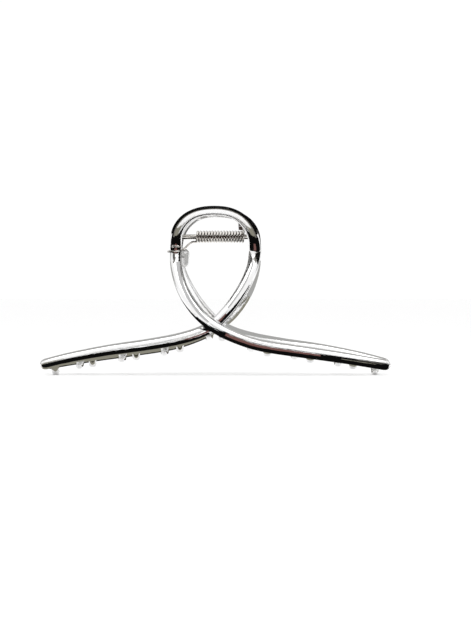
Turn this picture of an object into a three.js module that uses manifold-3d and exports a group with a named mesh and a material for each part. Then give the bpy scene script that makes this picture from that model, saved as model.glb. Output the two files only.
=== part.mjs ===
// A metal claw clip for hair: two jaws bent from flattened rod, each with a crossed loop,
// brazed ears and brazed teeth, turning on one pin against a torsion spring.
// Millimetres, +Z up. X runs along the clip, -Y is the front jaw's side, and z = 0 is where
// the lowest teeth stand.
import * as THREE from 'three';
import { mergeVertices } from 'three/addons/utils/BufferGeometryUtils.js';
import Module from 'manifold-3d';

const wasm = await Module();
wasm.setup();

// ---- Driving dimensions -------------------------------------------------------------
const HALF_LENGTH = 54.4; // middle of the clip to an arm's tip
const HINGE_HEIGHT = 43.0; // pin's axis above the lowest teeth
const BEND_HEIGHT = 38.9; // where the strands bend outward into the grip
const BEND_OUT = 2.9; // bend's corner, out from the plane between the jaws
const BEND_RADIUS = 2.6;
const LOOP_HALF_WIDTH = 12.4; // rod's centre-line at the bend
const GRIP_LENGTH = 17.2; // bend to the top of the grip, along its slope
const GRIP_LEAN = THREE.MathUtils.degToRad(46); // outward from the vertical
const GRIP_SQUARENESS = { right: 2.1, left: 2.6 }; // superellipse powers of the grip's two sides

const ROD = { width: 3.65, thickness: 2.1, sides: 10 };
const ARM_TIP_TAPER = 0.92; // width left at an arm's tip
const ARM_TAPER_LENGTH = 30;
const TIP_OUT = 6.6; // arm's tip, out from the plane between the jaws
const CROSSING = { over: 10.3, under: 7.8 }; // the two strands, out from that plane, where they cross

const WIRE = { radius: 0.34, sides: 6 };
const COIL = { radius: 1.6, left: -6.0, turns: 16, pitch: 0.905, stepsPerTurn: 12 };
const PIN = { radius: 0.76, halfLength: 13.6, headRadius: 1.2, headLength: 0.4, sides: 16 };
const PIN_HOLE_RADIUS = 0.95;

const EAR = { thickness: 1.1, lugRadius: 2.2, inner: 10.6, outer: 12.0, footHeight: 34.4 };
const SPRING_TAB = { left: 7.0, shoulder: 9.8, bottom: 45.05, neckTop: 46.6, top: 47.8, front: -0.9, back: 0.35 };
const REAR_RIB = { right: -8.3, top: 39.2, bottom: 33.7, front: 2.3, back: 3.7 };

const TOOTH = { baseWidth: 2.7, tipWidth: 1.5, thickness: 1.6, reachPastMiddle: 2.0, sides: 8 };
const TOOTH_DROP = { left: 4.5, right: 3.3 }; // rod's centre-line down to a tooth's underside
const LEFT_TEETH = [11.0, 24.6, 38.2, 49.8]; // distances from the middle, on the front jaw's left arm
const RIGHT_TEETH = [2.2, 16.2, 29.5, 42.8];

const JOINT_GAP = 0.2; // left between a brazed piece and its rod

// ---- Materials ----------------------------------------------------------------------
const CHROME = new THREE.MeshStandardMaterial({ color: 0xd9dadc, metalness: 1, roughness: 0.08 });
const STEEL = new THREE.MeshStandardMaterial({ color: 0xc9c6bf, metalness: 1, roughness: 0.22 });

// ---- Joining and cutting ------------------------------------------------------------
function toSolid(geometry) {
  const bare = geometry.clone();
  bare.deleteAttribute('normal');
  bare.deleteAttribute('uv');
  const merged = mergeVertices(bare, 1e-4);
  return new wasm.Manifold(new wasm.Mesh({
    numProp: 3,
    vertProperties: merged.attributes.position.array,
    triVerts: new Uint32Array(merged.index.array),
  }));
}

function toGeometry(solid) {
  const { vertProperties, triVerts } = solid.getMesh();
  const geometry = new THREE.BufferGeometry();
  geometry.setAttribute('position', new THREE.BufferAttribute(vertProperties, 3));
  geometry.setIndex(new THREE.BufferAttribute(triVerts, 1));
  geometry.computeVertexNormals();
  return geometry;
}

const join = (first, second) => toGeometry(toSolid(first).add(toSolid(second)));
const cut = (body, tool) => toGeometry(toSolid(body).subtract(toSolid(tool)));

// ---- Sweeping a section along a path ------------------------------------------------
// A path whose section keeps its face towards a given direction, and shrinks where girth says.
// Its stations are close together where it turns or shrinks, and far apart where it is straight.
class SweepPath extends THREE.CatmullRomCurve3 {
  constructor(points, faces, { maxTurn = 0.17, maxStep = 4.5, girth = () => 1 } = {}) {
    super(points, false, 'centripetal');
    this.faces = faces;
    this.girth = girth;
    this.stations = this.placeStations(maxTurn, maxStep);
  }

  placeStations(maxTurn, maxStep, samples = 1500, maxShrink = 0.3) {
    const distances = this.getLengths(samples);
    const total = distances[samples];
    const stations = [{ t: 0, distance: 0, girth: this.girth(0, total) }];
    let last = { ...stations[0], tangent: this.getTangent(0) };
    for (let i = 1; i <= samples; i++) {
      const t = i / samples;
      const here = { t, distance: distances[i], girth: this.girth(distances[i], total), tangent: this.getTangent(t) };
      const turned = here.tangent.angleTo(last.tangent) > maxTurn;
      const travelled = here.distance - last.distance > maxStep;
      const shrunk = Math.abs(here.girth - last.girth) > maxShrink;
      if (turned || travelled || shrunk || i === samples) {
        stations.push(here);
        last = here;
      }
    }
    return stations;
  }

  faceAt(t) {
    const place = t * (this.faces.length - 1);
    const before = Math.min(Math.floor(place), this.faces.length - 2);
    return this.faces[before].clone().lerp(this.faces[before + 1], place - before);
  }

  getSpacedPoints() {
    return this.stations.map(({ t }) => this.getPoint(t));
  }

  computeFrenetFrames() {
    const frames = { tangents: [], normals: [], binormals: [] };
    for (const { t, girth } of this.stations) {
      const tangent = this.getTangent(t);
      const face = this.faceAt(t).projectOnPlane(tangent).normalize();
      frames.tangents.push(tangent);
      frames.normals.push(new THREE.Vector3().crossVectors(face, tangent).multiplyScalar(girth));
      frames.binormals.push(face.multiplyScalar(girth));
    }
    return frames;
  }
}

function ovalSection(width, thickness, sides) {
  const corners = [];
  for (let i = 0; i < sides; i++) {
    const angle = ((i + 0.5) / sides) * 2 * Math.PI + Math.PI / 2;
    corners.push(new THREE.Vector2(Math.cos(angle) * width / 2, Math.sin(angle) * thickness / 2));
  }
  return new THREE.Shape(corners);
}

function sweep(path, section) {
  return new THREE.ExtrudeGeometry(section, { steps: path.stations.length - 1, extrudePath: path });
}

// ---- The jaw's rod ------------------------------------------------------------------
const OUTWARD = new THREE.Vector3(0, -1, 0);
const GRIP_FACE = new THREE.Vector3(0, -Math.cos(GRIP_LEAN), -Math.sin(GRIP_LEAN));

// Left arm, from its tip to the crossing, where it passes behind, and on up the right strand.
const UNDER_RUN = [
  [-HALF_LENGTH, -TIP_OUT, 2.95],
  [-45.5, -7.4, 5.2],
  [-33.0, -8.0, 7.65],
  [-20.5, -8.3, 9.5],
  [-11.1, -8.2, 11.3],
  [-4.9, -8.0, 13.2],
  [-0.5, -CROSSING.under, 15.6],
  [4.4, -7.5, 20.5],
  [9.2, -6.1, 27.8],
  [11.6, -4.5, 33.6],
];

// Left strand, from below the bend to the crossing, where it passes in front, and the right arm.
const OVER_RUN = [
  [-12.1, -4.6, 33.3],
  [-9.9, -6.9, 26.1],
  [-5.7, -9.1, 19.8],
  [-2.1, -10.2, 16.4],
  [2.0, -CROSSING.over, 13.75],
  [7.6, -10.0, 11.25],
  [13.9, -9.5, 9.3],
  [26.4, -8.8, 7.3],
  [38.9, -7.9, 5.5],
  [HALF_LENGTH, -TIP_OUT, 2.9],
];

// A point of the grip: a half superellipse in a plane that leans outward from the bend.
function gripPoint(angle) {
  const share = angle / Math.PI;
  const power = 2 / THREE.MathUtils.lerp(GRIP_SQUARENESS.right, GRIP_SQUARENESS.left, share);
  const across = Math.sign(Math.cos(angle)) * Math.abs(Math.cos(angle)) ** power;
  const along = Math.sin(angle) ** power * GRIP_LENGTH;
  return new THREE.Vector3(
    across * LOOP_HALF_WIDTH,
    -BEND_OUT - along * Math.sin(GRIP_LEAN),
    BEND_HEIGHT + along * Math.cos(GRIP_LEAN),
  );
}

// Three points that round a corner between two neighbours.
function roundedCorner(corner, before, after) {
  const back = before.clone().sub(corner).normalize();
  const on = after.clone().sub(corner).normalize();
  const halfAngle = back.angleTo(on) / 2;
  const setBack = BEND_RADIUS / Math.tan(halfAngle);
  const sagitta = BEND_RADIUS / Math.sin(halfAngle) - BEND_RADIUS;
  return [
    corner.clone().addScaledVector(back, setBack),
    corner.clone().addScaledVector(back.clone().add(on).normalize(), sagitta),
    corner.clone().addScaledVector(on, setBack),
  ];
}

function rodPath() {
  const gripKnots = 11;
  const firstAngle = THREE.MathUtils.degToRad(18);
  const grip = [];
  for (let i = 0; i < gripKnots; i++) {
    grip.push(gripPoint(THREE.MathUtils.lerp(firstAngle, Math.PI - firstAngle, i / (gripKnots - 1))));
  }
  const under = UNDER_RUN.map((p) => new THREE.Vector3(...p));
  const over = OVER_RUN.map((p) => new THREE.Vector3(...p));
  const rightBend = roundedCorner(gripPoint(0), under.at(-1), grip[0]);
  const leftBend = roundedCorner(gripPoint(Math.PI), grip.at(-1), over[0]);
  const points = [...under, ...rightBend, ...grip, ...leftBend, ...over];
  const faces = points.map((p) => (p.z > BEND_HEIGHT ? GRIP_FACE : OUTWARD));
  return new SweepPath(points, faces, { girth: armGirth });
}

// The arms narrow a little towards their tips, which are rounded.
function armGirth(distance, total) {
  const fromTip = Math.min(distance, total - distance);
  const taper = THREE.MathUtils.lerp(ARM_TIP_TAPER, 1, Math.min(fromTip / ARM_TAPER_LENGTH, 1));
  const roundLength = ROD.width / 2;
  const short = Math.max(0, 1 - (fromTip + 0.1) / roundLength);
  return taper * Math.sqrt(1 - short ** 2);
}

const ROD_PATH = rodPath();

function rod(extra = 0) {
  return sweep(ROD_PATH, ovalSection(ROD.width + extra, ROD.thickness + extra, ROD.sides));
}

// The rod, with the room that a brazed piece leaves around it.
const ROD_ROOM = rod(2 * JOINT_GAP);

function boxBetween(low, high) {
  const box = new THREE.BoxGeometry(high[0] - low[0], high[1] - low[1], high[2] - low[2]);
  return box.translate((low[0] + high[0]) / 2, (low[1] + high[1]) / 2, (low[2] + high[2]) / 2);
}

// What lies below the surface that the clip stands on.
const BELOW_STAND = boxBetween([-HALF_LENGTH, -20, -5], [HALF_LENGTH, 20, 0]);

// ---- Ears ---------------------------------------------------------------------------
// A plate in the Y-Z plane: a lug around the pin and a stem down to the rod, on the front side.
function earPlate(left) {
  const outline = new THREE.Shape();
  outline.moveTo(-EAR.lugRadius, HINGE_HEIGHT);
  outline.lineTo(-2.3, BEND_HEIGHT);
  outline.lineTo(-3.9, EAR.footHeight);
  outline.lineTo(-2.4, EAR.footHeight);
  outline.lineTo(0.9, BEND_HEIGHT);
  outline.lineTo(EAR.lugRadius, HINGE_HEIGHT);
  outline.absarc(0, HINGE_HEIGHT, EAR.lugRadius, 0, Math.PI, false);
  outline.holes.push(new THREE.Path().absarc(0, HINGE_HEIGHT, PIN_HOLE_RADIUS, 0, 2 * Math.PI, true));
  const plate = new THREE.ExtrudeGeometry(outline, { depth: EAR.thickness, bevelEnabled: false, curveSegments: 10 });
  // The outline's own x and y become Y and Z, and its depth becomes X.
  plate.applyMatrix4(new THREE.Matrix4().makeBasis(
    new THREE.Vector3(0, 1, 0), new THREE.Vector3(0, 0, 1), new THREE.Vector3(1, 0, 0),
  ));
  plate.translate(left, 0, 0);
  return plate;
}

const turned = (geometry) => geometry.clone().rotateZ(Math.PI);

function frontEar(left) {
  return cut(earPlate(left), ROD_ROOM);
}

// The rear right ear carries a tab over the coil, which the spring's right leg presses on.
function rearRightEar() {
  const plate = turned(earPlate(-EAR.inner - EAR.thickness));
  const right = EAR.inner + EAR.thickness;
  const { left, shoulder, bottom, neckTop, top, front, back } = SPRING_TAB;
  const tab = boxBetween([left, front, bottom], [shoulder, back, top]);
  const bridge = boxBetween([left, front, bottom], [right, back, neckTop]);
  const neck = boxBetween([EAR.inner, front, HINGE_HEIGHT + PIN_HOLE_RADIUS + 0.3], [right, back, neckTop]);
  return cut([plate, tab, bridge, neck].reduce(join), turned(ROD_ROOM));
}

// The rear left ear has a rib that stiffens the strand beside it.
function rearLeftEar() {
  const plate = turned(earPlate(EAR.inner));
  const outline = new THREE.Shape([
    new THREE.Vector2(-EAR.inner - 0.6, REAR_RIB.top),
    new THREE.Vector2(-EAR.inner - 0.6, REAR_RIB.bottom),
    new THREE.Vector2(REAR_RIB.right - 0.2, REAR_RIB.bottom),
    new THREE.Vector2(REAR_RIB.right, REAR_RIB.top - 1),
    new THREE.Vector2(REAR_RIB.right - 0.8, REAR_RIB.top),
  ]);
  const rib = new THREE.ExtrudeGeometry(outline, { depth: REAR_RIB.back - REAR_RIB.front, bevelEnabled: false });
  rib.rotateX(Math.PI / 2).translate(0, REAR_RIB.back, 0);
  return cut(join(plate, rib), turned(ROD_ROOM));
}

// ---- Teeth --------------------------------------------------------------------------
function rodPointAt(x, fromTip) {
  const stations = fromTip < 0 ? [0, 0.45] : [0.55, 1];
  let [low, high] = stations;
  for (let i = 0; i < 40; i++) {
    const middle = (low + high) / 2;
    if (ROD_PATH.getPoint(middle).x < x) low = middle;
    else high = middle;
  }
  return ROD_PATH.getPoint(low);
}

// A tooth of the front jaw: it leaves the arm's inner side, dips below the arm, runs inward and
// ends in a round tip past the plane between the jaws. The outermost ones are ground flat to stand on.
function tooth(x, side) {
  const arm = rodPointAt(x, side);
  const inside = arm.y + ROD.thickness / 2;
  const drop = side < 0 ? TOOTH_DROP.left : TOOTH_DROP.right;
  const low = arm.z - drop + TOOTH.thickness / 2;
  const points = [
    [x, inside - 0.3, arm.z - 0.5],
    [x, inside + 0.7, arm.z - 0.45 * drop],
    [x, inside + 2.2, low + 0.15],
    [x, inside + 3.4, low],
    [x, inside + 5.6, low],
    [x, TOOTH.reachPastMiddle, low + 0.8],
  ].map((p) => new THREE.Vector3(...p));
  const down = new THREE.Vector3(0, 0, -1);
  const girth = (distance, total) => {
    const taper = THREE.MathUtils.lerp(1, TOOTH.tipWidth / TOOTH.baseWidth, distance / total);
    const short = Math.max(0, 1 - (total - distance + 0.08) / (TOOTH.tipWidth / 2));
    return taper * Math.sqrt(1 - short ** 2);
  };
  const path = new SweepPath(points, points.map(() => down), { maxTurn: 0.3, maxStep: 2.5, girth });
  const body = sweep(path, ovalSection(TOOTH.baseWidth, TOOTH.thickness, TOOTH.sides));
  return cut(cut(body, ROD_ROOM), BELOW_STAND);
}

// ---- Pin and spring -----------------------------------------------------------------
function hingePin() {
  const { radius, halfLength, headRadius, headLength, sides } = PIN;
  const profile = [
    [0, -halfLength],
    [headRadius, -halfLength],
    [headRadius, -halfLength + headLength],
    [radius, -halfLength + headLength],
    [radius, halfLength],
    [0, halfLength],
  ].map((p) => new THREE.Vector2(...p));
  return new THREE.LatheGeometry(profile, sides).rotateZ(-Math.PI / 2).translate(0, 0, HINGE_HEIGHT);
}

// The coil's wire at an angle of winding: it starts below the pin and climbs at the front.
function coilPoint(turn) {
  const angle = turn * 2 * Math.PI;
  return new THREE.Vector3(
    COIL.left + turn * COIL.pitch,
    -COIL.radius * Math.sin(angle),
    HINGE_HEIGHT - COIL.radius * Math.cos(angle),
  );
}

function torsionSpring() {
  const right = COIL.left + COIL.turns * COIL.pitch;
  const leftLeg = [
    [-14.9, -4.7, 38.4],
    [-13.4, -5.35, 38.4],
    [-11.4, -5.35, 38.45],
    [-10.1, -4.6, 39.0],
    [-9.2, -3.0, 39.7],
    [-8.4, -1.5, 40.6],
    [-7.2, -0.5, 41.4],
  ].map((p) => new THREE.Vector3(...p));
  const coil = [];
  const steps = (COIL.turns + 0.25) * COIL.stepsPerTurn;
  for (let i = 0; i <= steps; i++) {
    coil.push(coilPoint(i / COIL.stepsPerTurn));
  }
  const rightLeg = [
    [right + 0.25, -COIL.radius, HINGE_HEIGHT + 1.2],
    [right + 0.28, -COIL.radius - 0.05, SPRING_TAB.bottom + 0.6],
    [right + 0.28, -COIL.radius - 0.05, SPRING_TAB.top - 0.6],
  ].map((p) => new THREE.Vector3(...p));
  const points = [...leftLeg, ...coil, ...rightLeg];
  const faces = points.map((p, i) => new THREE.Vector3(...(i < leftLeg.length - 1 ? [0, 0, 1] : [1, 0, 0])));
  return sweep(new SweepPath(points, faces, { maxTurn: 0.5, maxStep: 3 }),
    ovalSection(2 * WIRE.radius, 2 * WIRE.radius, WIRE.sides));
}

// ---- Assembly -----------------------------------------------------------------------
function named(name, geometry, material) {
  const mesh = new THREE.Mesh(geometry, material);
  mesh.name = name;
  return mesh;
}

// The rod and teeth of one jaw. Both jaws are the same shape, the rear one turned half round.
function jaw(side) {
  const group = new THREE.Group();
  group.add(named(`${side}_frame`, rod(), CHROME));
  const places = [
    ...LEFT_TEETH.map((x) => [-x, -1]).reverse(),
    ...RIGHT_TEETH.map((x) => [x, 1]),
  ];
  places.forEach(([x, arm], i) => group.add(named(`${side}_tooth_${i + 1}`, tooth(x, arm), CHROME)));
  return group;
}

const frontJaw = jaw('front');
frontJaw.add(named('front_left_ear', frontEar(-EAR.outer - EAR.thickness), CHROME));
frontJaw.add(named('front_right_ear', frontEar(EAR.outer), CHROME));

const rearJaw = jaw('rear');
rearJaw.rotation.z = Math.PI;

const clip = new THREE.Group();
clip.add(frontJaw, rearJaw);
clip.add(named('rear_left_ear', rearLeftEar(), CHROME));
clip.add(named('rear_right_ear', rearRightEar(), CHROME));
clip.add(named('hinge_pin', hingePin(), STEEL));
clip.add(named('torsion_spring', torsionSpring(), STEEL));

export default clip;
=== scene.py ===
import math

import bmesh
import bpy
import numpy as np
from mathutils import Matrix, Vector


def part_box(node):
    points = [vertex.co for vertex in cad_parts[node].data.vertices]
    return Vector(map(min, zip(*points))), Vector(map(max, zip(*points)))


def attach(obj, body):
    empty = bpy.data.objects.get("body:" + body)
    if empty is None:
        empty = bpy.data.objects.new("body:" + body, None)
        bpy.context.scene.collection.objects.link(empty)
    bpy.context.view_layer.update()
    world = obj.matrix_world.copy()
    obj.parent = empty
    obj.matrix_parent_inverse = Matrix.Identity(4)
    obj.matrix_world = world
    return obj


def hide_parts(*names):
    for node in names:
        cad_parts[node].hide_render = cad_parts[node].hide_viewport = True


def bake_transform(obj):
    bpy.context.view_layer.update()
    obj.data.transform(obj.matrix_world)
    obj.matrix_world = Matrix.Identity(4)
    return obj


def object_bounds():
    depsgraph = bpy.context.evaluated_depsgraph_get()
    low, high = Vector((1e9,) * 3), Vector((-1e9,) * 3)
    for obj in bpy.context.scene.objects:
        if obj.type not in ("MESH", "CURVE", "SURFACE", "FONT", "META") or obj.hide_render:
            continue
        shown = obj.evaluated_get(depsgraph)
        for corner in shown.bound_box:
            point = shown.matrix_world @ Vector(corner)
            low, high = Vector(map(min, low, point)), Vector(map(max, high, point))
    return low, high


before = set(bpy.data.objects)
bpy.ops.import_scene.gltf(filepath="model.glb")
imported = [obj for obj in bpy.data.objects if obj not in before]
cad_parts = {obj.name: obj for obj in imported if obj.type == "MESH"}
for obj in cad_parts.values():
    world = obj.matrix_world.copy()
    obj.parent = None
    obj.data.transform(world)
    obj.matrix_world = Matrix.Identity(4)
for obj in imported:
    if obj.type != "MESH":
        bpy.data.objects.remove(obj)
cad_low, cad_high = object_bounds()

MM = 0.001

# ---- Driving dimensions, in millimetres, as in the CAD ---------------------------------
pin_low, pin_high = (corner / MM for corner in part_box("hinge_pin"))
HINGE_HEIGHT = (pin_low.z + pin_high.z) / 2
HALF_LENGTH = 54.4
BEND_HEIGHT = HINGE_HEIGHT - 4.1
BEND_OUT = 2.9
BEND_RADIUS = 2.6
LOOP_HALF_WIDTH = 12.4
GRIP_LENGTH = 17.2
GRIP_LEAN = math.radians(46)
GRIP_SQUARENESS = {"right": 2.1, "left": 2.6}

ROD = {"width": 3.65, "thickness": 2.1}
ARM_TIP_TAPER = 0.92
ARM_TAPER_LENGTH = 30
TIP_OUT = 6.6

WIRE_RADIUS = 0.34
COIL = {"radius": 1.6, "left": -6.0, "turns": 16, "pitch": 0.905}
COIL_RIGHT = COIL["left"] + COIL["turns"] * COIL["pitch"]
PIN = {"radius": 0.76, "head_radius": 1.2, "head_length": 0.4}
PIN_HOLE_RADIUS = 0.95

EAR = {"thickness": 1.1, "lug_radius": 2.2, "foot_height": 34.4}
EAR_BEND_REACH = {"front": -2.3, "back": 0.9}
EAR_FOOT_REACH = {"front": -3.9, "back": -2.4}
SPRING_TAB = {
    "left": 7.0, "shoulder": 9.8, "bottom": 45.05, "neck_top": 46.6, "top": 47.8, "front": -0.9, "back": 0.35,
}
REAR_RIB = {"right": -8.3, "top": 39.2, "bottom": 33.7, "front": 2.3, "back": 3.7}

TOOTH = {"base_width": 2.7, "tip_width": 1.5, "thickness": 1.6, "reach_past_middle": 2.0}
TOOTH_DROP = {"left": 4.5, "right": 3.3}
LEFT_TEETH = [11.0, 24.6, 38.2, 49.8]
RIGHT_TEETH = [2.2, 16.2, 29.5, 42.8]

# Left arm's tip to the crossing, where it passes behind, and up the right strand.
UNDER_RUN = [
    (-HALF_LENGTH, -TIP_OUT, 2.95),
    (-45.5, -7.4, 5.2),
    (-33.0, -8.0, 7.65),
    (-20.5, -8.3, 9.5),
    (-11.1, -8.2, 11.3),
    (-4.9, -8.0, 13.2),
    (-0.5, -7.8, 15.6),
    (4.4, -7.5, 20.5),
    (9.2, -6.1, 27.8),
    (11.6, -4.5, 33.6),
]
# Left strand, down to the crossing, where it passes in front, and the right arm.
OVER_RUN = [
    (-12.1, -4.6, 33.3),
    (-9.9, -6.9, 26.1),
    (-5.7, -9.1, 19.8),
    (-2.1, -10.2, 16.4),
    (2.0, -10.3, 13.75),
    (7.6, -10.0, 11.25),
    (13.9, -9.5, 9.3),
    (26.4, -8.8, 7.3),
    (38.9, -7.9, 5.5),
    (HALF_LENGTH, -TIP_OUT, 2.9),
]
OUTWARD = np.array([0.0, -1.0, 0.0])
GRIP_FACE = np.array([0.0, -math.cos(GRIP_LEAN), -math.sin(GRIP_LEAN)])


# ---- Smooth curves ---------------------------------------------------------------------
def unit(v):
    return v / np.linalg.norm(v, axis=-1, keepdims=True)


class Curve:
    """A centripetal Catmull-Rom curve through knots, with the direction that its flat face looks."""

    def __init__(self, knots, faces, samples_per_span=60):
        knots = np.array(knots, float)
        faces = np.array(faces, float)
        points, tangents, looks = [], [], []
        spans = len(knots) - 1
        for i in range(spans):
            p1, p2 = knots[i], knots[i + 1]
            p0 = knots[i - 1] if i > 0 else 2 * p1 - p2
            p3 = knots[i + 2] if i + 2 <= spans else 2 * p2 - p1
            d0, d1, d2 = (np.linalg.norm(b - a) ** 0.5 for a, b in ((p0, p1), (p1, p2), (p2, p3)))
            m1 = ((p1 - p0) / d0 - (p2 - p0) / (d0 + d1) + (p2 - p1) / d1) * d1
            m2 = ((p2 - p1) / d1 - (p3 - p1) / (d1 + d2) + (p3 - p2) / d2) * d1
            last = 1 if i == spans - 1 else 0
            t = (np.arange(samples_per_span + last) / samples_per_span)[:, None]
            c2 = -3 * p1 + 3 * p2 - 2 * m1 - m2
            c3 = 2 * p1 - 2 * p2 + m1 + m2
            points.append(p1 + m1 * t + c2 * t**2 + c3 * t**3)
            tangents.append(m1 + 2 * c2 * t + 3 * c3 * t**2)
            looks.append(faces[i] + (faces[i + 1] - faces[i]) * t)
        self.points = np.concatenate(points)
        self.tangents = unit(np.concatenate(tangents))
        looks = np.concatenate(looks)
        flat = (looks * self.tangents).sum(axis=1, keepdims=True)
        self.faces = unit(looks - flat * self.tangents)
        self.widths = np.cross(self.faces, self.tangents)
        steps = np.linalg.norm(np.diff(self.points, axis=0), axis=1)
        self.distances = np.concatenate([[0.0], np.cumsum(steps)])
        self.length = self.distances[-1]

    def stations(self, girth, max_turn=0.07, max_step=0.9, max_shrink=0.08):
        """Indices of samples, close together where the curve turns or its girth changes."""
        kept = [0]
        for i in range(1, len(self.points)):
            last = kept[-1]
            turned = self.tangents[i] @ self.tangents[last] < math.cos(max_turn)
            travelled = self.distances[i] - self.distances[last] > max_step
            shrunk = abs(girth(self.distances[i]) - girth(self.distances[last])) > max_shrink
            if turned or travelled or shrunk or i == len(self.points) - 1:
                kept.append(i)
        return kept


# ---- Meshes ----------------------------------------------------------------------------
SHARP_FROM = math.radians(32)


def make_piece(name, vertices, polygons, material, body, along):
    """A smooth-shaded piece from millimetre vertices, riding on a body. Its metal is grained by along,
    which holds each vertex's place as if the piece were straight."""
    mesh = bpy.data.meshes.new(name)
    mesh.from_pydata((np.array(vertices) * MM).tolist(), [], polygons)
    mesh.validate()
    shell = bmesh.new()
    shell.from_mesh(mesh)
    bmesh.ops.recalc_face_normals(shell, faces=shell.faces)
    shell.to_mesh(mesh)
    shell.free()
    mesh.polygons.foreach_set("use_smooth", [True] * len(mesh.polygons))
    mesh.set_sharp_from_angle(angle=SHARP_FROM)
    attribute = mesh.attributes.new("along", "FLOAT_VECTOR", "POINT")
    attribute.data.foreach_set("vector", np.array(along, np.float32).ravel())
    mesh.materials.append(material)
    piece = bpy.data.objects.new(name, mesh)
    bpy.context.scene.collection.objects.link(piece)
    if body:
        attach(piece, body)
    return piece


def grid_polygons(rings, sides, closed=False):
    """Quads between neighbouring rings; closed joins the last ring to the first."""
    polygons = []
    for ring in range(rings if closed else rings - 1):
        here, there = ring * sides, (ring + 1) % rings * sides
        for side in range(sides):
            after = (side + 1) % sides
            polygons.append((here + side, here + after, there + after, there + side))
    return polygons


def sweep(curve, width, thickness, sides, girth, **spacing):
    """Vertices, polygons and straightened coordinates of an oval section swept along a curve."""
    angles = np.arange(sides) * 2 * math.pi / sides
    vertices, along = [], []
    kept = curve.stations(girth, **spacing)
    for i in kept:
        scale = girth(curve.distances[i])
        across = np.cos(angles) * width / 2 * scale
        out = np.sin(angles) * thickness / 2 * scale
        vertices.append(curve.points[i] + np.outer(across, curve.widths[i]) + np.outer(out, curve.faces[i]))
        along.append(np.stack([across, out, np.full(sides, curve.distances[i])], axis=1))
    polygons = grid_polygons(len(kept), sides)
    first_cap = tuple(range(sides))[::-1]
    last_cap = tuple((len(kept) - 1) * sides + side for side in range(sides))
    return np.concatenate(vertices), polygons + [first_cap, last_cap], np.concatenate(along)


def cut_corners(outline, share, times):
    """A closed outline with each corner replaced by two points, a share of the way along its edges."""
    for _ in range(times):
        after = np.roll(outline, -1, axis=0)
        near = outline * (1 - share) + after * share
        far = outline * share + after * (1 - share)
        outline = np.stack([near, far], axis=1).reshape(-1, 2)
    return outline


def turn_round(vertices):
    """The same shape turned half round the vertical axis."""
    return np.array(vertices) * [-1, -1, 1]


# ---- The rod ---------------------------------------------------------------------------
def grip_point(angle):
    """A point of the leaning grip arch, from its right bend at angle 0 to its left bend at pi."""
    share = angle / math.pi
    power = 2 / (GRIP_SQUARENESS["right"] * (1 - share) + GRIP_SQUARENESS["left"] * share)
    across = math.copysign(abs(math.cos(angle)) ** power, math.cos(angle))
    along = abs(math.sin(angle)) ** power * GRIP_LENGTH
    return np.array([
        across * LOOP_HALF_WIDTH,
        -BEND_OUT - along * math.sin(GRIP_LEAN),
        BEND_HEIGHT + along * math.cos(GRIP_LEAN),
    ])


def rounded_corner(corner, before, after):
    """Three knots that round a corner off between its neighbours."""
    back, on = unit(np.array(before) - corner), unit(np.array(after) - corner)
    half_angle = math.acos(back @ on) / 2
    set_back = BEND_RADIUS / math.tan(half_angle)
    sagitta = BEND_RADIUS / math.sin(half_angle) - BEND_RADIUS
    return [corner + back * set_back, corner + unit(back + on) * sagitta, corner + on * set_back]


def rod_curve(grip_knots=11, first_angle=math.radians(18)):
    """The front rod's centre-line, from the left arm's tip round the grip to the right arm's tip."""
    grip = [grip_point(a) for a in np.linspace(first_angle, math.pi - first_angle, grip_knots)]
    right_bend = rounded_corner(grip_point(0), UNDER_RUN[-1], grip[0])
    left_bend = rounded_corner(grip_point(math.pi), grip[-1], OVER_RUN[0])
    knots = [*map(np.array, UNDER_RUN), *right_bend, *grip, *left_bend, *map(np.array, OVER_RUN)]
    return Curve(knots, [GRIP_FACE if p[2] > BEND_HEIGHT else OUTWARD for p in knots])


ROD_CURVE = rod_curve()


def arm_girth(distance):
    """The rod's girth at a distance along it: full in the middle, a little less at the rounded tips."""
    from_tip = min(distance, ROD_CURVE.length - distance)
    taper = ARM_TIP_TAPER + (1 - ARM_TIP_TAPER) * min(from_tip / ARM_TAPER_LENGTH, 1)
    short = max(0.0, 1 - (from_tip + 0.01) / (ROD["width"] / 2))
    return taper * math.sqrt(1 - short**2)


def make_frames(material):
    vertices, polygons, along = sweep(ROD_CURVE, ROD["width"], ROD["thickness"], 36, arm_girth)
    for side, shape in (("front", vertices), ("rear", turn_round(vertices))):
        piece = make_piece(f"{side}_rod", shape, polygons, material, f"{side}_jaw", along)
        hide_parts(f"{side}_frame")


# ---- Teeth -----------------------------------------------------------------------------
def rod_point_at(x, left):
    """The arm's centre-line where it passes x."""
    half = len(ROD_CURVE.points) // 2
    points = ROD_CURVE.points[:half] if left else ROD_CURVE.points[half:]
    arm = points[points[:, 2] < 15]
    return arm[np.argmin(abs(arm[:, 0] - x))]


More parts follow.
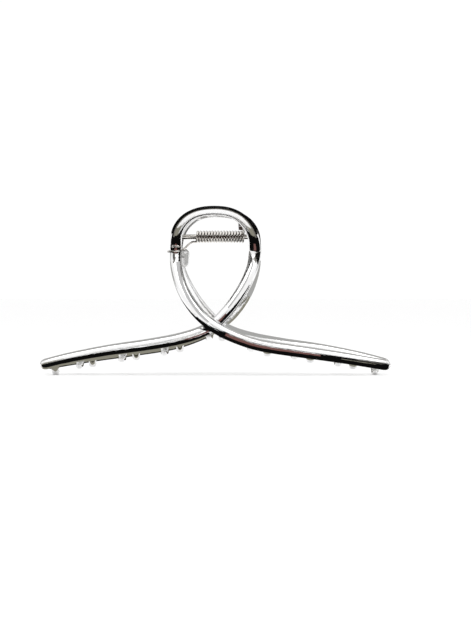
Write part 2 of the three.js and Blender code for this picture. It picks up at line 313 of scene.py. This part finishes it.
def tooth_shape(x, left):
    """A tooth that leaves the rod's inner side at x, goes down and turns inward, and its braze fillet."""
    arm = rod_point_at(x, left)
    inside = arm[1] + ROD["thickness"] / 2
    drop = TOOTH_DROP["left"] if left else TOOTH_DROP["right"]
    low = arm[2] - drop + TOOTH["thickness"] / 2
    knots = [
        (x, inside - 0.5, arm[2] - 0.3),
        (x, inside + 0.7, arm[2] - 0.45 * drop),
        (x, inside + 2.2, low + 0.15),
        (x, inside + 3.4, low),
        (x, inside + 5.6, low),
        (x, TOOTH["reach_past_middle"], low + 0.8),
    ]
    curve = Curve(knots, [(0, 0, -1)] * len(knots))
    narrowing = 1 - TOOTH["tip_width"] / TOOTH["base_width"]
    braze_height, braze_spread = 0.22, 1.1

    def girth(distance):
        taper = 1 - narrowing * distance / curve.length
        short = max(0.0, 1 - (curve.length - distance + 0.01) / (TOOTH["tip_width"] / 2))
        braze = 1 + braze_height * math.exp(-((distance / braze_spread) ** 2))
        return taper * braze * math.sqrt(1 - short**2)

    vertices, polygons, along = sweep(
        curve, TOOTH["base_width"], TOOTH["thickness"], 20, girth, max_turn=0.1, max_step=0.5)
    vertices[:, 2] = np.maximum(vertices[:, 2], 0)
    return vertices, polygons, along


def make_teeth(material):
    places = [(-x, True) for x in reversed(LEFT_TEETH)] + [(x, False) for x in RIGHT_TEETH]
    for number, (x, left) in enumerate(places, 1):
        vertices, polygons, along = tooth_shape(x, left)
        for side, shape in (("front", vertices), ("rear", turn_round(vertices))):
            piece = make_piece(
                f"{side}_claw_{number}", shape, polygons, material, f"{side}_jaw", along)
            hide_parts(f"{side}_tooth_{number}")


# ---- Ears ------------------------------------------------------------------------------
def ear_outline():
    """The ear's edge in the Y-Z plane as distances from the pin's axis, all round it."""
    lug = EAR["lug_radius"]
    foot = EAR["foot_height"]
    corners = [
        (-lug, HINGE_HEIGHT),
        (EAR_BEND_REACH["front"], BEND_HEIGHT),
        (EAR_FOOT_REACH["front"], foot),
        (EAR_FOOT_REACH["back"], foot),
        (EAR_BEND_REACH["back"], BEND_HEIGHT),
        (lug, HINGE_HEIGHT),
    ]
    arc = [(lug * math.cos(a), HINGE_HEIGHT + lug * math.sin(a)) for a in np.linspace(0, math.pi, 25)[1:-1]]
    return cut_corners(np.array(corners + arc), 0.25, 3) - [0, HINGE_HEIGHT]


def ear_plate(middle):
    """A plate with rounded edges and a raised ring round its pin hole."""
    outline = ear_outline()
    reach = np.linalg.norm(outline, axis=1)
    toward = outline / reach[:, None]
    half, edge, hole = EAR["thickness"] / 2, 0.22, PIN_HOLE_RADIUS
    boss_height, boss_width = 0.14, 0.55
    # Each step is a radius, a distance from the plate's middle, and whether the radius is from its edge.
    profile = [
        (hole, half * 0.5, False),
        (hole + 0.05, half + boss_height * 0.8, False),
        (hole + 0.18, half + boss_height, False),
        (hole + boss_width, half + boss_height, False),
        (hole + boss_width + 0.15, half, False),
        (-edge, half, True),
        (-edge * 0.3, half - edge * 0.3, True),
        (0, half - edge, True),
    ]
    loop = profile + [(radial, -x, at_edge) for radial, x, at_edge in reversed(profile)]
    vertices = []
    for radial, x, at_edge in loop:
        radius = reach + radial if at_edge else np.full(len(reach), radial)
        vertices.append(np.column_stack([np.full(len(reach), middle + x), toward * radius[:, None]]))
    vertices = np.concatenate(vertices) + [0, 0, HINGE_HEIGHT]
    return vertices, grid_polygons(len(loop), len(outline), closed=True)


def bevelled_slab(outline, front, back, bevel=0.18):
    """An outline in the X-Z plane, run from front to back along Y, with rounded edges."""
    outline = cut_corners(np.array(outline, float), 0.12, 2)
    centre = outline.mean(axis=0)
    size = np.ptp(outline, axis=0)
    # The innermost ring of each end keeps the shading of its face flat.
    layers = [
        (front, bevel * 1.8),
        (front, bevel),
        (front + bevel * 0.3, bevel * 0.3),
        (front + bevel, 0),
        (back - bevel, 0),
        (back - bevel * 0.3, bevel * 0.3),
        (back, bevel),
        (back, bevel * 1.8),
    ]
    vertices = []
    for y, inset in layers:
        flat = centre + (outline - centre) * (1 - 2 * inset / size)
        vertices.append(np.column_stack([flat[:, 0], np.full(len(flat), y), flat[:, 1]]))
    sides = len(outline)
    last = (len(layers) - 1) * sides
    caps = [tuple(range(sides)), tuple(range(last + sides - 1, last - 1, -1))]
    return np.concatenate(vertices), grid_polygons(len(layers), sides) + caps


def merged(*shapes):
    """Several shapes as one list of vertices and one of polygons."""
    vertices, polygons, start = [], [], 0
    for shape_vertices, shape_polygons in shapes:
        vertices.append(np.array(shape_vertices))
        polygons += [tuple(i + start for i in polygon) for polygon in shape_polygons]
        start += len(shape_vertices)
    return np.concatenate(vertices), polygons


def ear_middle(node):
    """The X of the middle of an ear's plate, from the outer side of its CAD solid."""
    low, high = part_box(node)
    outer = min(low.x, high.x, key=lambda x: -abs(x)) / MM
    return outer - math.copysign(EAR["thickness"] / 2, outer)


def spring_tab():
    """The tab over the coil's right end that the spring's right leg presses on."""
    tab = SPRING_TAB
    outer = ear_middle("rear_right_ear") + EAR["thickness"] / 2
    inner = outer - EAR["thickness"]
    neck_bottom = HINGE_HEIGHT + PIN_HOLE_RADIUS + 0.3
    outline = [
        (tab["left"], tab["bottom"]),
        (inner, tab["bottom"]),
        (inner, neck_bottom),
        (outer, neck_bottom),
        (outer, tab["neck_top"]),
        (tab["shoulder"], tab["neck_top"]),
        (tab["shoulder"], tab["top"]),
        (tab["left"], tab["top"]),
    ]
    return bevelled_slab(outline, tab["front"], tab["back"], bevel=0.1)


def rear_rib():
    """The rib of the rear jaw's ear that shows beside the front jaw's left strand."""
    rib = REAR_RIB
    inner = ear_middle("rear_left_ear") + EAR["thickness"] / 2 - 0.6
    outline = [
        (inner, rib["top"]),
        (inner, rib["bottom"]),
        (rib["right"] - 0.2, rib["bottom"]),
        (rib["right"], rib["top"] - 1),
        (rib["right"] - 0.8, rib["top"]),
    ]
    return bevelled_slab(outline, rib["front"], rib["back"])


def make_ears(material):
    shapes = {
        "front_left": ear_plate(ear_middle("front_left_ear")),
        "front_right": ear_plate(ear_middle("front_right_ear")),
    }
    for side, extra in (("left", rear_rib()), ("right", spring_tab())):
        vertices, polygons = ear_plate(-ear_middle(f"rear_{side}_ear"))
        shapes[f"rear_{side}"] = merged((turn_round(vertices), polygons), extra)
    for name, (vertices, polygons) in shapes.items():
        along = vertices * [1, 1, 0.2]
        body = f"{name.split('_')[0]}_jaw"
        piece = make_piece(f"{name}_lug", vertices, polygons, material, body, along)
        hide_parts(f"{name}_ear")


# ---- Pin and spring --------------------------------------------------------------------
def make_pin(material):
    """A straight pin with a domed head at its left end and a rounded right end."""
    left, right = pin_low.x, pin_high.x
    radius, head = PIN["radius"], PIN["head_radius"]
    under_head = left + PIN["head_length"]
    dome_height, end_round, small = 0.3, 0.25, 0.06
    dome = [
        (left + dome_height * (1 - math.cos(a)), head * math.sin(a))
        for a in np.linspace(0.05, math.pi / 2, 8)
    ]
    rounded = [
        (right - end_round + end_round * math.sin(a), radius - end_round * (1 - math.cos(a)))
        for a in np.linspace(0, 1.5, 6)
    ]
    collar = [
        (under_head - 0.04, head),
        (under_head, head - small),
        (under_head, radius + small),
        (under_head + small, radius),
    ]
    shank = [(x, radius) for x in np.linspace(left + 1, right - 1, 20)]
    profile = dome + collar + shank + rounded + [(right, 0.02)]
    sides = 40
    angles = np.arange(sides) * 2 * math.pi / sides
    vertices = np.concatenate([
        np.column_stack([np.full(sides, x), r * np.sin(angles), HINGE_HEIGHT + r * np.cos(angles)])
        for x, r in profile
    ])
    polygons = grid_polygons(len(profile), sides)
    polygons += [tuple(range(sides))[::-1], tuple((len(profile) - 1) * sides + i for i in range(sides))]
    along = np.column_stack([vertices[:, 1], vertices[:, 2], vertices[:, 0]])
    piece = make_piece("axle", vertices, polygons, material, "rear_jaw", along)
    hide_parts("hinge_pin")


def coil_point(turn):
    """A point of the wire's centre-line, a number of turns from the coil's left end."""
    angle = turn * 2 * math.pi
    return (
        COIL["left"] + turn * COIL["pitch"],
        -COIL["radius"] * math.sin(angle),
        HINGE_HEIGHT - COIL["radius"] * math.cos(angle),
    )


def make_spring(material):
    """The coil, a leg hooked over the front jaw's left strand, and a leg up the front of the tab."""
    left_leg = [
        (-14.9, -4.7, 38.4),
        (-13.4, -5.35, 38.4),
        (-11.4, -5.35, 38.45),
        (-10.1, -4.6, 39.0),
        (-9.2, -3.0, 39.7),
        (-8.4, -1.5, 40.6),
        (-7.2, -0.5, 41.4),
    ]
    steps_per_turn, last_quarter = 12, 0.25
    steps = int((COIL["turns"] + last_quarter) * steps_per_turn)
    coil = [coil_point(i / steps_per_turn) for i in range(steps + 1)]
    front = -COIL["radius"]
    right_leg = [
        (COIL_RIGHT + 0.25, front, HINGE_HEIGHT + 1.2),
        (COIL_RIGHT + 0.28, front - 0.05, SPRING_TAB["bottom"] + 0.6),
        (COIL_RIGHT + 0.28, front - 0.05, SPRING_TAB["top"] - 0.6),
    ]
    knots = left_leg + coil + right_leg
    faces = [(0, 0, 1) if i < len(left_leg) - 1 else (1, 0, 0) for i in range(len(knots))]
    curve = Curve(knots, faces, samples_per_span=12)

    def girth(distance):
        from_end = min(distance, curve.length - distance)
        short = max(0.0, 1 - (from_end + 0.02) / WIRE_RADIUS)
        return math.sqrt(1 - short**2)

    vertices, polygons, along = sweep(
        curve, 2 * WIRE_RADIUS, 2 * WIRE_RADIUS, 12, girth, max_turn=0.25, max_step=0.8, max_shrink=0.3)
    piece = make_piece("spring_wire_coil", vertices, polygons, material, None, along)
    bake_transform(piece)
    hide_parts("torsion_spring")


# ---- Materials -------------------------------------------------------------------------
class Nodes:
    """A short way to add and join shader nodes."""

    def __init__(self, tree):
        self.tree = tree
        tree.nodes.clear()

    def add(self, kind, inputs=(), **settings):
        node = self.tree.nodes.new(kind)
        for name, value in settings.items():
            setattr(node, name, value)
        for name, value in dict(inputs).items():
            self.put(value, node.inputs[name])
        return node

    def put(self, value, socket):
        if isinstance(value, bpy.types.NodeSocket):
            self.tree.links.new(value, socket)
        else:
            socket.default_value = value

    def maths(self, operation, *values):
        node = self.tree.nodes.new("ShaderNodeMath")
        node.operation = operation
        for i, value in enumerate(values):
            self.put(value, node.inputs[i])
        return node.outputs[0]

    def ramp(self, fac, stops):
        node = self.tree.nodes.new("ShaderNodeValToRGB")
        self.put(fac, node.inputs["Fac"])
        elements = node.color_ramp.elements
        while len(elements) < len(stops):
            elements.new(0.5)
        for element, (position, colour) in zip(elements, stops):
            element.position = position
            element.color = (*colour, 1)
        return node.outputs["Color"]


def painted_shade_near_axis(n, place, shaded_within):
    """Mask of painted shade between the coil's turns: white nearer to the pin's axis than shaded_within, in
    millimetres, and black further out.
    """
    from_axis = n.add("ShaderNodeVectorMath", {0: place, 1: (0, 0, HINGE_HEIGHT * MM)}, operation="SUBTRACT")
    across = n.add("ShaderNodeVectorMath", {0: from_axis.outputs[0], 1: (0, 1, 1)}, operation="MULTIPLY")
    radius = n.add("ShaderNodeVectorMath", {0: across.outputs[0]}, operation="LENGTH").outputs["Value"]
    depth = n.maths("MULTIPLY", radius, 0.5 / (shaded_within * MM))
    return n.ramp(depth, [(0.48, (1, 1, 1)), (0.52, (0, 0, 0))])


def metal(name, bright, dull, stain, roughness, line_depth, shaded_within=None):
    """Polished metal: lines along the piece from polishing, faint smudges, and a warm stain here and there.
    Nearer to the pin's axis than shaded_within, the metal is painted near black, a painted shade between the
    coil's turns."""
    line_scale = (9.0, 9.0, 0.35)
    smudge_scale, ripple_scale = 180.0, 420.0
    stain_share, bump_height = 0.25, 0.00012
    material = bpy.data.materials.new(name)
    material.use_nodes = True
    n = Nodes(material.node_tree)
    straight = n.add("ShaderNodeAttribute", attribute_name="along").outputs["Vector"]
    place = n.add("ShaderNodeTexCoord").outputs["Object"]
    lines_at = n.add("ShaderNodeVectorMath", {0: straight, 1: line_scale}, operation="MULTIPLY").outputs[0]
    lines = n.add("ShaderNodeTexNoise", {"Vector": lines_at, "Scale": 1.0, "Detail": 4.0}).outputs["Fac"]
    smudge = n.add("ShaderNodeTexNoise", {"Vector": place, "Scale": smudge_scale, "Detail": 5.0})
    ripple = n.add("ShaderNodeTexNoise", {"Vector": place, "Scale": ripple_scale, "Detail": 2.0})
    wear = n.ramp(smudge.outputs["Fac"], [(0.42, (0, 0, 0)), (0.72, (1, 1, 1))])
    polish = n.add("ShaderNodeMix", {"Factor": lines, "A": bright, "B": dull}, data_type="RGBA")
    stained = n.add("ShaderNodeMix", {
        "Factor": n.maths("MULTIPLY", wear, stain_share),
        "A": polish.outputs["Result"],
        "B": stain,
    }, data_type="RGBA")
    colour = stained.outputs["Result"]
    # Painted shade: near the pin's axis the colour turns near black, standing in for the shade between the
    # coil's turns.
    if shaded_within:
        colour = n.add("ShaderNodeMix", {
            "Factor": painted_shade_near_axis(n, place, shaded_within),
            "A": colour,
            "B": (0.05, 0.035, 0.03, 1),
        }, data_type="RGBA").outputs["Result"]
    uneven = n.maths("MULTIPLY", n.maths("ADD", lines, wear), roughness * 0.5)
    height = n.maths("ADD", n.maths("MULTIPLY", lines, 0.5), ripple.outputs["Fac"])
    bump = n.add("ShaderNodeBump", {"Height": height, "Strength": line_depth, "Distance": bump_height})
    shader = n.add("ShaderNodeBsdfPrincipled", {
        "Base Color": colour,
        "Metallic": 1.0,
        "Roughness": n.maths("ADD", uneven, roughness * 0.5),
        "Normal": bump.outputs["Normal"],
    })
    n.add("ShaderNodeOutputMaterial", {"Surface": shader.outputs["BSDF"]})
    return material


# ---- Studio ----------------------------------------------------------------------------
def card_material(name, colour):
    """A card that shines evenly on the side that faces the object and isn't there from behind."""
    material = bpy.data.materials.new(name)
    material.use_nodes = True
    n = Nodes(material.node_tree)
    front = n.add("ShaderNodeEmission", {"Color": (*colour, 1), "Strength": 1.0})
    back = n.add("ShaderNodeBsdfTransparent")
    side = n.add("ShaderNodeNewGeometry").outputs["Backfacing"]
    mix = n.add("ShaderNodeMixShader", {0: side, 1: front.outputs[0], 2: back.outputs[0]})
    n.add("ShaderNodeOutputMaterial", {"Surface": mix.outputs[0]})
    return material


def add_card(name, vertices, polygons, material):
    """A stage card that only reflections see, from millimetre vertices."""
    mesh = bpy.data.meshes.new(name)
    mesh.from_pydata((np.array(vertices) * MM).tolist(), [], polygons)
    mesh.materials.append(material)
    flag = bpy.data.objects.new(name, mesh)
    bpy.context.scene.collection.objects.link(flag)
    for ray in ("camera", "diffuse", "transmission", "volume_scatter", "shadow"):
        setattr(flag, f"visible_{ray}", False)


# How far from the rod's centre-line its cards stand. The nearer ones hide the others.
ROD_FAR, ROD_NEAR = 2.7, 2.6
GRIP_FAR, GRIP_NEAR = 6.0, 5.9


def card(name, start, end, angle_from, angle_to, material, distance=ROD_FAR, rear_material=None):
    """A curved card beside the rod from start to end, as shares of its length. Its two edges are at
    angle_from and angle_to, each given at the start and at the end. The angles go round the rod from
    its flat face, positive towards the inside of the loop. The rear rod has the same card turned half
    round, in rear_material where that is given."""
    columns, spacing = 9, 0.0025
    rows = max(2, round((end - start) / spacing))
    spread = np.linspace(0, 1, columns)
    vertices = []
    for place in np.linspace(0, 1, rows):
        travelled = (start + (end - start) * place) * ROD_CURVE.length
        i = min(np.searchsorted(ROD_CURVE.distances, travelled), len(ROD_CURVE.points) - 1)
        past_tip = travelled - ROD_CURVE.distances[i]
        low = angle_from[0] + (angle_from[1] - angle_from[0]) * place
        high = angle_to[0] + (angle_to[1] - angle_to[0]) * place
        low, high = max(low, high), min(low, high)
        angles = np.radians(low + (high - low) * spread)
        around = np.outer(np.sin(angles), ROD_CURVE.widths[i]) + np.outer(np.cos(angles), ROD_CURVE.faces[i])
        vertices.append(ROD_CURVE.points[i] + ROD_CURVE.tangents[i] * past_tip + around * distance)
    polygons = []
    for row in range(rows - 1):
        for column in range(columns - 1):
            a = row * columns + column
            polygons.append((a, a + columns, a + columns + 1, a + 1))
    vertices = np.concatenate(vertices)
    add_card(f"{name}_front", vertices, polygons, material)
    add_card(f"{name}_rear", turn_round(vertices), polygons, rear_material or material)


def share_at(x, z):
    """How far along the rod it passes nearest to x and z, as a share of its length."""
    near = np.argmin((ROD_CURVE.points[:, 0] - x) ** 2 + (ROD_CURVE.points[:, 2] - z) ** 2)
    return ROD_CURVE.distances[near] / ROD_CURVE.length


def flat_card(name, corners, material):
    """A level card from two opposite corners. It shines upwards, or downwards if the first corner is
    the right one."""
    (left, front, height), (right, back, _) = corners
    vertices = [(left, front, height), (right, front, height), (right, back, height), (left, back, height)]
    add_card(name, vertices, [(0, 1, 2, 3)], material)


def standing_card(name, corners, material):
    """An upright card that shines towards the back, from two opposite corners."""
    (left, front, bottom), (right, _, top) = corners
    vertices = [(left, front, bottom), (left, front, top), (right, front, top), (right, front, bottom)]
    add_card(name, vertices, [(0, 1, 2, 3)], material)


CARD_TONES = {
    "black": (0.004, 0.004, 0.004),
    "brown": (0.19, 0.095, 0.085),
    "dark_brown": (0.05, 0.035, 0.03),
    "coil_brown": (0.03, 0.016, 0.012),
    "olive": (0.27, 0.26, 0.21),
    "grey": (0.42, 0.42, 0.41),
    "soft": (0.56, 0.56, 0.56),
    "shade": (0.2, 0.19, 0.17),
    "white": (1.0, 1.0, 1.0),
}
CROSSING = (OVER_RUN[3][0], OVER_RUN[3][2])
BELOW_BEND = 38.0
PAST_LEFT_TIP, PAST_RIGHT_TIP = -0.02, 1.02


def make_arm_cards(tone):
    """The bands along the two arms."""
    over_cross = share_at(*CROSSING)
    under_cross = 0.5 * (share_at(-11.1, 11.3) + share_at(4.4, 20.5))
    # Left arm: black below, olive under it near the tip, brown at the crossing.
    card("left_arm_low", PAST_LEFT_TIP, under_cross - 0.03, (10, -30), (-50, -105), tone["black"])
    card("left_arm_cross", under_cross - 0.03, under_cross, (-40, -50), (-105, -105), tone["black"])
    card("left_arm_brown", under_cross - 0.035, under_cross, (-22, -24), (-38, -46), tone["brown"], ROD_NEAR)
    card("left_arm_olive", PAST_LEFT_TIP, 0.5 * under_cross, (-50, -78), (-175, -175), tone["olive"])
    card("left_arm_olive_on", 0.5 * under_cross, under_cross, (-78, -106), (-175, -175), tone["olive"])
    card("left_arm_top", -0.01, under_cross, (84, 168), (62, 50), tone["grey"])
    card("left_tip_shade", PAST_LEFT_TIP, 0.035, (30, 14), (6, 8), tone["olive"], ROD_NEAR)
    card("left_arm_streak", 0.02, under_cross - 0.01, (6, -8), (0, -15), tone["grey"])
    card("left_arm_fine_streak", 0.3 * under_cross, under_cross - 0.02, (-18, -19), (-21, -23), tone["shade"])
    # Right arm: a thin black line, a brown strip, black below, and all black towards the tip.
    card("right_arm_low", over_cross + 0.02, over_cross + 0.2, (-40, 12), (-108, -108), tone["black"])
    card("right_arm_outer_low", over_cross + 0.2, PAST_RIGHT_TIP, (12, 24), (-108, -108), tone["black"])
    card("right_arm_brown", over_cross + 0.03, over_cross + 0.17, (4, 0), (-36, -22), tone["brown"], ROD_NEAR)
    card("right_arm_line", over_cross + 0.025, over_cross + 0.2, (15, 13), (5, 8), tone["black"])
    card("right_arm_streak", over_cross + 0.2, 0.98, (-16, -12), (-22, -18), tone["olive"], ROD_NEAR)
    card("right_arm_fine_streak", over_cross + 0.22, 0.99, (8, 4), (4, 0), tone["shade"], ROD_NEAR)
    card("right_tip_shade", 0.955, PAST_RIGHT_TIP, (22, 46), (20, 20), tone["grey"], ROD_NEAR)
    card("right_arm_under", over_cross + 0.03, PAST_RIGHT_TIP, (-108, -108), (-175, -175), tone["olive"])


def make_strand_cards(tone):
    """The bands along the loop's two strands, between the crossing and the bends."""
    over_cross = share_at(*CROSSING)
    right_bend, left_bend = share_at(LOOP_HALF_WIDTH, BELOW_BEND), share_at(-LOOP_HALF_WIDTH, BELOW_BEND)
    # Left strand: a soft streak and two fine lines inside, a grey edge and black low on the outside.
    top, line_end, black_end = left_bend + 0.012, over_cross + 0.1, over_cross + 0.033
    low_start, deep_start, fleck_start = share_at(-9.3, 24.9), share_at(-4.9, 19.0), share_at(-6.5, 20.9)
    card("left_strand_streak", top, over_cross, (2, -8), (56, 26), tone["soft"])
    card("left_strand_line", top, line_end, (62, 32), (70, 38), tone["grey"], ROD_NEAR)
    card("left_strand_second_line", top, line_end, (84, 50), (94, 58), tone["grey"], ROD_NEAR)
    card("left_strand_edge", top, low_start, (-84, -84), (-170, -170), tone["grey"])
    card("over_strand_low", low_start, black_end, (-90, -8), (-130, -120), tone["black"],
         rear_material=tone["olive"])
    card("over_strand_deep", deep_start, black_end, (-44, 12), (-100, -100), tone["black"],
         rear_material=tone["olive"])
    card("over_strand_streak", fleck_start, over_cross + 0.02, (-50, -16), (-54, -19), tone["soft"], ROD_NEAR)
    # Right strand: a soft streak, black and brown low on the outside, and black below the bend.
    bottom, streak_start, brown_end = share_at(1.0, 16.8), share_at(4.4, 20.5), share_at(3.4, 19.2)
    low_end, second_end = share_at(9.5, 28.6), share_at(10.3, 30.0)
    card("right_strand_streak", streak_start, right_bend - 0.012, (14, -4), (40, 16), tone["soft"])
    card("right_strand_low", bottom, low_end, (-4, -50), (-56, -64), tone["black"])
    card("right_strand_second", bottom, second_end, (-64, -74), (-84, -82), tone["black"])
    card("right_strand_brown", bottom, brown_end, (6, 0), (-22, -16), tone["brown"], ROD_NEAR)
    card("right_bend_tail", right_bend - 0.016, right_bend + 0.002, (-58, 0), (-70, -110), tone["black"])


def make_grip_cards(tone):
    """The bands round the grip's arch, and what its two sides show above the bends."""
    right_bend, left_bend = share_at(LOOP_HALF_WIDTH, BELOW_BEND), share_at(-LOOP_HALF_WIDTH, BELOW_BEND)
    # Black round the outside, a warm shade beside it, and a thin dark line and a grey edge inside.
    rim_start, rim_end = right_bend + 0.022, left_bend - 0.022
    card("grip_rim", rim_start, rim_end, (-42, -42), (-190, -190), tone["black"], GRIP_FAR)
    card("grip_shade", right_bend + 0.01, left_bend - 0.01, (-26, -26), (-42, -42), tone["shade"], GRIP_FAR)
    card("grip_line", right_bend + 0.03, left_bend - 0.01, (51, 42), (57, 70), tone["black"], GRIP_NEAR)
    inner_start, inner_end = right_bend + 0.02, left_bend - 0.02
    card("grip_inner_edge", inner_start, inner_end, (118, 118), (140, 140), tone["grey"], GRIP_NEAR)
    # The arch's two sides see these level cards below them.
    height, brown_height, half_width = 36.6, 37.0, 0.8
    black_front, olive_front, back = -8.9, -12.5, 3.0
    for side in (-1, 1):
        name = "left" if side < 0 else "right"
        low_x, high_x = sorted((side * 6.0, side * 22.0))
        flat_card(f"{name}_side", ((low_x, black_front, height), (high_x, back, height)), tone["black"])
        low_x, high_x = sorted((side * 10.5, side * 22.0))
        olive_corners = (low_x, olive_front, height), (high_x, black_front, height)
        flat_card(f"{name}_side_olive", olive_corners, tone["olive"])
        middle = side * LOOP_HALF_WIDTH
        brown_corners = (middle - half_width, -6.0, brown_height), (middle + half_width, -4.2, brown_height)
        flat_card(f"{name}_side_brown", brown_corners, tone["brown"])


def make_coil_and_tooth_cards(tone):
    """The coil's front and top and the tab's front, and low strips that the teeth show as spots."""
    coil_left, coil_right = -6.5, 8.9
    standing_card("coil_front", ((coil_left, -4.6, 40.5), (coil_right, -4.6, 44.1)), tone["coil_brown"])
    flat_card("coil_top", ((coil_right, -4.5, 46.4), (coil_left, 1.5, 46.4)), tone["white"])
    standing_card("tab_front", ((6.5, -7.0, 44.9), (10.3, -7.0, 48.5)), tone["dark_brown"])
    shade_height, spot_height, from_middle = 0.2, 0.25, 1.5
    for side in (-1, 1):
        name = "left" if side < 0 else "right"
        low_x, high_x = sorted((side * from_middle, side * HALF_LENGTH))
        shade_corners = (low_x, -9.5, shade_height), (high_x, -5.4, shade_height)
        spot_corners = (low_x, -7.4, spot_height), (high_x, -6.6, spot_height)
        flat_card(f"{name}_low_shade", shade_corners, tone["olive"])
        flat_card(f"{name}_low_spot", spot_corners, tone["black"])


def make_cards():
    """All the cards whose reflections make the bands on the chrome. They are placed to suit
    the view from the front. Other views show the bands elsewhere or not at all."""
    tone = {name: card_material(f"{name}_card", colour) for name, colour in CARD_TONES.items()}
    make_arm_cards(tone)
    make_strand_cards(tone)
    make_grip_cards(tone)
    make_coil_and_tooth_cards(tone)


def make_floor():
    """A wide pale floor just under the clip."""
    mesh = bpy.data.meshes.new("floor")
    radius, rings, sides, height = 6000.0, 3, 64, -0.02
    angles = np.arange(sides) * 2 * math.pi / sides
    circles = [radius * (ring + 1) / rings for ring in range(rings)]
    vertices = np.concatenate([
        np.column_stack([r * np.cos(angles), r * np.sin(angles), np.full(sides, height)])
        for r in circles
    ])
    mesh.from_pydata((vertices * MM).tolist(), [], grid_polygons(rings, sides) + [tuple(range(sides))])
    material = bpy.data.materials.new("floor_paper")
    material.use_nodes = True
    n = Nodes(material.node_tree)
    place = n.add("ShaderNodeTexCoord").outputs["Object"]
    fibre = n.add("ShaderNodeTexNoise", {"Vector": place, "Scale": 60.0, "Detail": 3.0}).outputs["Fac"]
    tone = n.ramp(fibre, [(0.0, (0.965, 0.965, 0.965)), (1.0, (0.985, 0.985, 0.985))])
    paper = {"Base Color": tone, "Roughness": 0.9, "Specular IOR Level": 0.1}
    shader = n.add("ShaderNodeBsdfPrincipled", paper)
    n.add("ShaderNodeOutputMaterial", {"Surface": shader.outputs["BSDF"]})
    mesh.materials.append(material)
    floor = bpy.data.objects.new("floor", mesh)
    bpy.context.scene.collection.objects.link(floor)


def make_world():
    """A white backdrop, which reflections see as a white tent with soft grey areas behind, ahead,
    above and at both sides."""
    world = bpy.data.worlds.new("studio")
    bpy.context.scene.world = world
    world.use_nodes = True
    n = Nodes(world.node_tree)
    direction = n.add("ShaderNodeTexCoord").outputs["Generated"]
    split = n.add("ShaderNodeSeparateXYZ", {0: direction})
    white = (1, 1, 1)
    forwards = n.maths("MULTIPLY", split.outputs["Y"], -1.0)
    sideways = n.maths("ABSOLUTE", split.outputs["X"])
    behind = n.ramp(split.outputs["Y"], [(0.2, white), (0.55, (0.5, 0.5, 0.49)), (0.95, (0.2, 0.2, 0.19))])
    ahead = n.ramp(forwards, [(0.982, white), (0.998, (0.35, 0.35, 0.34))])
    above = n.ramp(split.outputs["Z"], [(0.78, white), (0.92, (0.42, 0.42, 0.41))])
    beside = n.ramp(sideways, [(0.93, white), (0.99, (0.3, 0.3, 0.29))])
    tent = behind
    for part in (ahead, above, beside):
        tent = n.add("ShaderNodeMix", {"Factor": 1.0, "A": tent, "B": part}, data_type="RGBA",
                     blend_type="DARKEN").outputs["Result"]
    strength = 1.03
    reflected = n.add("ShaderNodeBackground", {"Color": tent, "Strength": strength})
    backdrop = n.add("ShaderNodeBackground", {"Color": (*white, 1), "Strength": strength})
    glossy = n.add("ShaderNodeLightPath").outputs["Is Glossy Ray"]
    mix = n.add("ShaderNodeMixShader", {0: glossy, 1: backdrop.outputs[0], 2: reflected.outputs[0]})
    n.add("ShaderNodeOutputWorld", {"Surface": mix.outputs[0]})


def make_light():
    """One large soft light, as far in front of the clip as it is above it."""
    lamp = bpy.data.lights.new("overhead", "AREA")
    lamp.shape = "RECTANGLE"
    lamp.size, lamp.size_y, lamp.energy = 0.9, 0.5, 1.6
    light = bpy.data.objects.new("overhead", lamp)
    light.location = (0.0, -0.6, 0.6)
    light.rotation_euler = (Vector((0, 0, 0.02)) - light.location).to_track_quat("-Z", "Y").to_euler()
    bpy.context.scene.collection.objects.link(light)


def make_camera():
    """The photograph's view: from the front, one degree to the right and half a degree above."""
    azimuth, elevation, distance = math.radians(1.0), math.radians(0.5), 1.0
    image_height, pixels_per_mm = 628, 3.2
    back = Vector((math.sin(azimuth) * math.cos(elevation), -math.cos(azimuth) * math.cos(elevation),
                   math.sin(elevation)))
    aim = (cad_low + cad_high) / 2 + Vector((6.2, 0, -7.25)) * MM
    data = bpy.data.cameras.new("camera")
    data.sensor_width = 36.0
    data.lens = data.sensor_width * distance / (image_height / pixels_per_mm * MM)
    data.clip_start, data.clip_end = 0.01, 20
    camera = bpy.data.objects.new("camera", data)
    camera.location = aim + back * distance
    camera.rotation_euler = (-back).to_track_quat("-Z", "Y").to_euler()
    bpy.context.scene.collection.objects.link(camera)
    bpy.context.scene.camera = camera


# ---- Build -----------------------------------------------------------------------------
chrome = metal(
    "polished_chrome_metal", bright=(0.95, 0.95, 0.95, 1), dull=(0.86, 0.86, 0.87, 1),
    stain=(0.72, 0.68, 0.62, 1), roughness=0.07, line_depth=0.25)
steel = metal(
    "bright_steel", bright=(0.86, 0.84, 0.8, 1), dull=(0.7, 0.67, 0.62, 1),
    stain=(0.45, 0.38, 0.32, 1), roughness=0.2, line_depth=0.3)
# The spring's wire has painted shade near the pin's axis, inside the coil.
wire = metal(
    "spring_steel", bright=(0.92, 0.9, 0.87, 1), dull=(0.8, 0.77, 0.72, 1),
    stain=(0.55, 0.47, 0.4, 1), roughness=0.15, line_depth=0.3, shaded_within=COIL["radius"] + 0.06)
make_frames(chrome)
make_teeth(chrome)
make_ears(chrome)
make_pin(steel)
make_spring(wire)
make_cards()
make_floor()
make_world()
make_light()
make_camera()
bpy.context.scene.view_settings.view_transform = "Standard"
